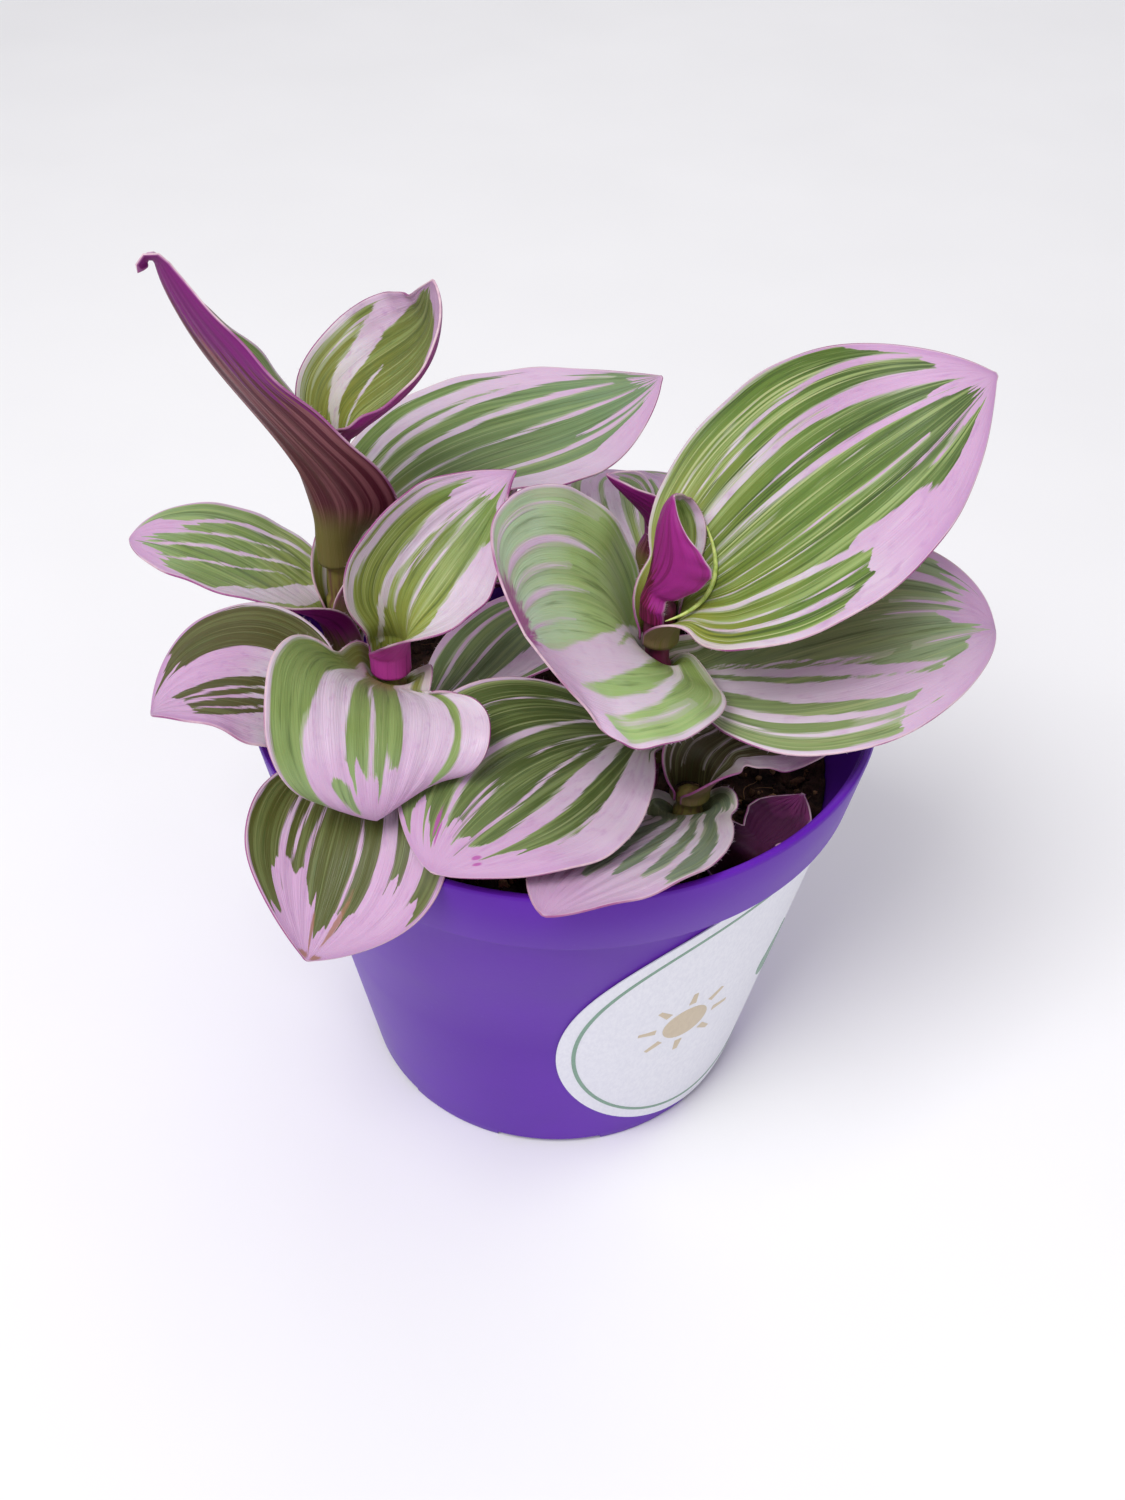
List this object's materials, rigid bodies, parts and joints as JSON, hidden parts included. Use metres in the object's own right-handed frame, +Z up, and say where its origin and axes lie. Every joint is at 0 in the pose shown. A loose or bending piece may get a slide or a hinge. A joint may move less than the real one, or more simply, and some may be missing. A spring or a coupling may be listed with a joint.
{
  "type": "potted plant",
  "caption": "Striped tradescantia with broad green, cream and pink leaves in a round violet nursery pot with a plain round label.",
  "frame": {"origin": "centre of the pot's base, on the surface that the pot stands on", "axes": "+Z up along the pot's axis, -Y towards the front of the plant, which the picture sees from above"},
  "size_m": [0.1425, 0.1178, 0.1561],
  "materials": {
    "pot_plastic": "satin",
    "label_paper": "matte",
    "peat": "rough",
    "stem_skin": "satin",
    "leaf_skin": "satin"
  },
  "bodies": {
    "root": {"pot": "pot_plastic", "label": "label_paper", "soil": "peat", "stem_left": "stem_skin", "stem_middle": "stem_skin", "stem_front": "stem_skin", "stem_right": "stem_skin", "stem_low": "stem_skin", "stem_corner": "stem_skin", "stem_back": "stem_skin", "stem_rear": "stem_skin", "leaf_left_folded": "leaf_skin", "leaf_left_upright": "leaf_skin", "leaf_left_long": "leaf_skin", "leaf_left_side": "leaf_skin", "leaf_middle_cupped": "leaf_skin", "leaf_middle_heart": "leaf_skin", "leaf_middle_back": "leaf_skin", "leaf_front_side": "leaf_skin", "leaf_front_drooping": "leaf_skin", "leaf_right_large": "leaf_skin", "leaf_right_arched": "leaf_skin", "leaf_right_side": "leaf_skin", "leaf_right_front": "leaf_skin", "leaf_right_rolled": "leaf_skin", "leaf_low_shaded": "leaf_skin", "leaf_low_on_rim": "leaf_skin", "leaf_corner_dark": "leaf_skin", "leaf_back_outer": "leaf_skin", "leaf_back_young": "leaf_skin", "leaf_back_side": "leaf_skin", "leaf_rear_outer": "leaf_skin", "leaf_rear_side": "leaf_skin"}
  },
  "joints": []
}
